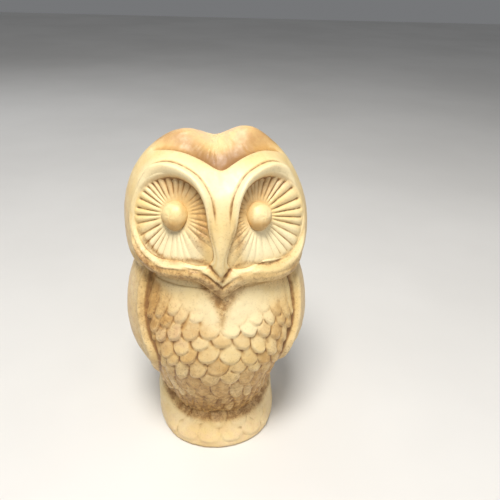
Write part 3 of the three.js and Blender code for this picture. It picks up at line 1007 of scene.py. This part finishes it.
def beak_cover(degrees, height):
    """1 under the beak's strip, just inside its edges."""
    across = np.abs(degrees - beak_middle(height)) * HEAD_MM_PER_DEGREE * np.cos(np.radians(height))
    within = smooth(across, beak_half_width(height) - 0.5, beak_half_width(height) - 1)
    return within * smooth(height, 40, 38) * smooth(height, -14, -12.5)


def make_beak(material):
    """A strip down the bridge that narrows to the beak's tip."""
    side, height = np.meshgrid(np.linspace(-1, 1, 40), np.linspace(42, -15.5, 190))
    reach = beak_half_width(height) / HEAD_MM_PER_DEGREE / np.cos(np.radians(height))
    azimuth, elevation = np.radians(beak_middle(height) + side * reach), np.radians(height)
    slab_piece("beak", head_points, head_charts, azimuth, elevation, FACE_THICKNESS, material)


RUFF_SPAN = (3.2, 60.0)


def ruff_cover(degrees, height):
    """1 under a ruff's strip, just inside its edges."""
    top, bottom = ruff_lines(degrees)
    across = (height - bottom) / (top - bottom)
    away = np.abs(degrees)
    inner, outer = RUFF_SPAN
    ends = smooth(away, inner + 0.5, inner + 1.5) * smooth(away, outer - 0.5, outer - 1.5)
    return smooth(across, 0.04, 0.12) * smooth(across, 0.98, 0.9) * ends


def make_ruff(name, side, material):
    """A strip along the fold under an eye."""
    degrees, across = np.meshgrid(side * np.linspace(*RUFF_SPAN, 190), np.linspace(-0.06, 1.02, 34))
    top, bottom = ruff_lines(degrees)
    height = bottom + across * (top - bottom)
    azimuth, elevation = np.radians(degrees), np.radians(height)
    slab_piece(f"{name}_ruff", head_points, head_charts, azimuth, elevation, FACE_THICKNESS, material)


DISC_EDGE, DISC_BACK = 1.4, 3.0


def make_disc(name, side, charts, material):
    """Rings round the pupil out to the disc's outline, an edge behind the last one, and a closed back."""
    rays, steps = 384, 70
    angle = np.linspace(0, 2 * math.pi, rays, endpoint=False)
    reach = edge_reach(angle, side)
    t = np.linspace(0.12, 1.015, steps)[:, None]
    x = -side * (PUPIL_IN[side] + t * reach * np.cos(angle))
    up = PUPIL_UP + t * reach * np.sin(angle)
    level = charts[0].at(x, up)
    hub_x, hub_up = np.array([-side * PUPIL_IN[side]]), np.array([PUPIL_UP])
    hub_level = charts[0].at(hub_x, hub_up)
    groups = [
        (x.ravel(), up.ravel(), level.ravel()),
        (x[-1], up[-1], level[-1] - DISC_EDGE),
        (hub_x, hub_up, hub_level),
        (hub_x, hub_up, hub_level - DISC_BACK),
    ]
    centre, axes = EYES[side]
    points = centre + np.concatenate([np.stack(group, -1) for group in groups]) @ axes
    paint = joined(*[washes(charts, group[0], group[1]) for group in groups])
    node = f"{name}_eye_disc"
    add_piece(node, points, ring_faces(steps + 1, rays), paint, node, material)


def edge_reach(angle, side):
    """How far a ray from the pupil's centre runs before it meets the disc's outline, by halving."""
    near, far = np.zeros(angle.shape), np.full(angle.shape, 60.0)
    for _ in range(40):
        middle = (near + far) / 2
        x = PUPIL_IN[side] + middle * np.cos(angle)
        y = PUPIL_UP + middle * np.sin(angle)
        inside = np.hypot(x, y) < outline_radius(x, y, side)
        near, far = np.where(inside, middle, near), np.where(inside, far, middle)
    return near


def make_pupil(name, side, charts, material):
    """A plump oval dome, a little lumpy, with its wash gathered round its foot and painted shade on its
    lower side.
    """
    around, rings = 96, 34
    angle = np.linspace(0, 2 * math.pi, around, endpoint=False)
    lean = np.linspace(-0.35, math.pi / 2 - 0.02, rings)[:, None]
    lumps = 1 + 0.02 * np.sin(3 * angle + side) * np.cos(lean) + 0.012 * np.sin(5 * angle + 7 * lean)
    x = -side * PUPIL_IN[side] + PUPIL_WIDE * np.cos(lean) * np.cos(angle) * lumps
    y = PUPIL_UP + PUPIL_TALL * np.cos(lean) * np.sin(angle) * lumps
    floor = charts[0].at(np.array([-side * PUPIL_IN[side]]), np.array([PUPIL_UP]))[0]
    z = floor + PUPIL_HIGH * np.sin(lean) * lumps + 0 * angle
    local = np.stack([x, y, z], -1)
    bottom, top = local[0].mean(axis=0), local[-1].mean(axis=0) + [0, 0, 0.02]
    centre, axes = EYES[side]
    points = centre + np.concatenate([local.reshape(-1, 3), [bottom, top]]) @ axes
    foot_wash = (smooth(lean, 0.35, -0.05) * 0.5 - 0.2 + 0 * angle).ravel()
    # Painted shade: the pupil's lower side is stored as broad hollowness, so the clay turns golden there.
    painted_shade_below = (smooth(y, PUPIL_UP + 4, PUPIL_UP - 8) * 1.3).ravel()
    paint = {"hollow": np.append(foot_wash, [0.4, -0.2]), "broad": np.append(painted_shade_below, [0, 0])}
    paint["tint"] = np.zeros(len(points))
    node = f"{name}_pupil"
    add_piece(node, points, ring_faces(rings, around), paint, node, material)


def upright_piece(name, charts, count, heights, cover, node, material):
    """A closed body of rings from a chart of radius over azimuth and height."""
    azimuth, height = np.meshgrid(front_steps(count), heights)
    radius = charts[0].at(azimuth, height) - cover(azimuth, height)
    points = np.stack([np.sin(azimuth) * radius, -np.cos(azimuth) * radius, height], -1)
    ends = [[0, 0, heights[0]], [0, 0, heights[-1]]]
    points = np.concatenate([points.reshape(-1, 3), ends])
    col = np.concatenate([azimuth.ravel(), [0, 0]])
    row = np.concatenate([height.ravel(), heights[[0, -1]]])
    faces = ring_faces(*azimuth.shape)
    add_piece(name, points, faces, washes(charts, col, row), node, material)


STRIP_HEIGHTS = (41.0, 128.0)


def torso_cover(azimuth, height):
    """How far the body sinks where the breast and the wings lie over it."""
    degrees = np.degrees(azimuth)
    away = np.abs(degrees)
    _, from_edge = wing_relief(degrees, height)
    tall = smooth(height, STRIP_HEIGHTS[0] + 0.6, STRIP_HEIGHTS[0] + 1.6)
    breast = smooth(from_edge, -2.4, -3.2)
    back = wing_back(height)
    wing = smooth(from_edge, 0.4, 1.2) * smooth(away, back + 1.5, back)
    return 0.5 * tall * np.clip(breast + wing, 0, 1)


def no_cover(azimuth, height):
    """For a body that nothing lies over."""
    return 0 * azimuth


def make_breast(material):
    """The feathered front of the body, from wing to wing."""
    side, height = np.meshgrid(np.linspace(-1, 1, 222), np.linspace(*STRIP_HEIGHTS, 222))
    edge = front_edge(height, side) - 1.6 / HEAD_MM_PER_DEGREE
    azimuth = np.radians(side * edge)
    slab_piece("feathered_breast", torso_points, torso_charts, azimuth, height, BREAST_THICKNESS, material)


def make_wing(name, side, material):
    """A folded wing, from its front ridge round to its rear edge."""
    across, height = np.meshgrid(np.linspace(0, 1, 150), np.linspace(*STRIP_HEIGHTS, 200))
    start = front_edge(height, side) - 0.4 / HEAD_MM_PER_DEGREE
    back = wing_back(height) + 2.5
    azimuth = np.radians(side * (start + across * (back - start)))
    slab_piece(f"{name}_wing", torso_points, torso_charts, azimuth, height, WING_THICKNESS, material)


# ---------- floor, light and camera ----------


def make_floor():
    """A wide pale floor under the felt pad."""
    bpy.ops.mesh.primitive_plane_add(size=6, location=(0, 0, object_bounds()[0][2]))
    floor = bpy.context.object
    floor.name = "floor"
    n = Nodes("pale_floor")
    tone = n.mix(n.ramp(n.noise(3.0), 0.3, 0.7), (0.74, 0.73, 0.71, 1), (0.80, 0.79, 0.77, 1))
    n.join(tone, n.shader.inputs["Base Color"])
    n.shader.inputs["Roughness"].default_value = 0.8
    floor.data.materials.append(n.material)


def make_light(name, place, target, size, power, colour):
    """A square area light that faces its target."""
    light = bpy.data.lights.new(name, "AREA")
    light.size = size
    light.energy = power
    light.color = colour
    lamp = bpy.data.objects.new(name, light)
    lamp.location = place
    lamp.rotation_euler = (Vector(target) - Vector(place)).to_track_quat("-Z", "Y").to_euler()
    bpy.context.scene.collection.objects.link(lamp)


def make_lights():
    """A small warm key light high in front, a wide soft fill from the owl's left, and a light behind."""
    middle = (0, 0, 0.11)
    make_light("key", (-0.10, -0.36, 0.95), middle, 0.3, 10.5, (1, 0.97, 0.92))
    make_light("fill", (0.9, -0.5, 0.5), middle, 0.9, 2.2, (1, 0.98, 0.96))
    make_light("back", (-0.5, 0.8, 0.8), middle, 0.7, 2.0, (0.95, 0.97, 1))
    world = bpy.data.worlds.new("studio")
    world.use_nodes = True
    world.node_tree.nodes["Background"].inputs["Color"].default_value = (0.9, 0.92, 0.95, 1)
    world.node_tree.nodes["Background"].inputs["Strength"].default_value = 0.2
    bpy.context.scene.world = world
    bpy.context.scene.view_settings.view_transform = "Standard"


def make_camera():
    """A hand-held camera in front of the owl and above it, looking down, turned and rolled a little."""
    camera = bpy.data.objects.new("camera", bpy.data.cameras.new("camera"))
    camera.data.sensor_width = 36
    camera.data.lens = 37.73
    camera.location = (-0.0167, -0.2802, 0.2800)
    turn = Matrix.Rotation(math.radians(-7.5), 4, "Z")
    pitch = Matrix.Rotation(math.radians(61.3), 4, "X")
    roll = Matrix.Rotation(math.radians(2.1), 4, "Z")
    camera.rotation_euler = (turn @ pitch @ roll).to_euler()
    bpy.context.scene.collection.objects.link(camera)
    bpy.context.scene.camera = camera


# ---------- putting it together ----------

make_camera()
make_lights()
head_charts = make_head_charts()
torso_charts = make_torso_charts()
foot_charts = make_foot_charts()
# The second number scales the painted light, the third the brown wash in the hollows; the eyes take the
# full painted light.
clay = clay_material("cream_clay", 0.75, 1.0)
eye_clay = clay_material("eye_clay", 1.0, 1.1)

make_head(clay)
make_beak(clay)
body_heights = np.linspace(TORSO_BOTTOM, TORSO_TOP, 248)
foot_heights = np.linspace(foot_low[2], FOOT_TOP, 110)
upright_piece("torso", torso_charts, 400, body_heights, torso_cover, "torso_shell", clay)
upright_piece("foot", foot_charts, 360, foot_heights, no_cover, "foot_base", clay)
make_breast(clay)
for name, side in SIDES.items():
    eye_charts = make_eye_charts(side)
    make_disc(name, side, eye_charts, eye_clay)
    make_pupil(name, side, eye_charts, eye_clay)
    make_brow(name, side, clay)
    make_ruff(name, side, clay)
    make_wing(name, side, clay)

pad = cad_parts["felt_pad"]
pad.data.materials.clear()
pad.data.materials.append(felt_material())

make_floor()
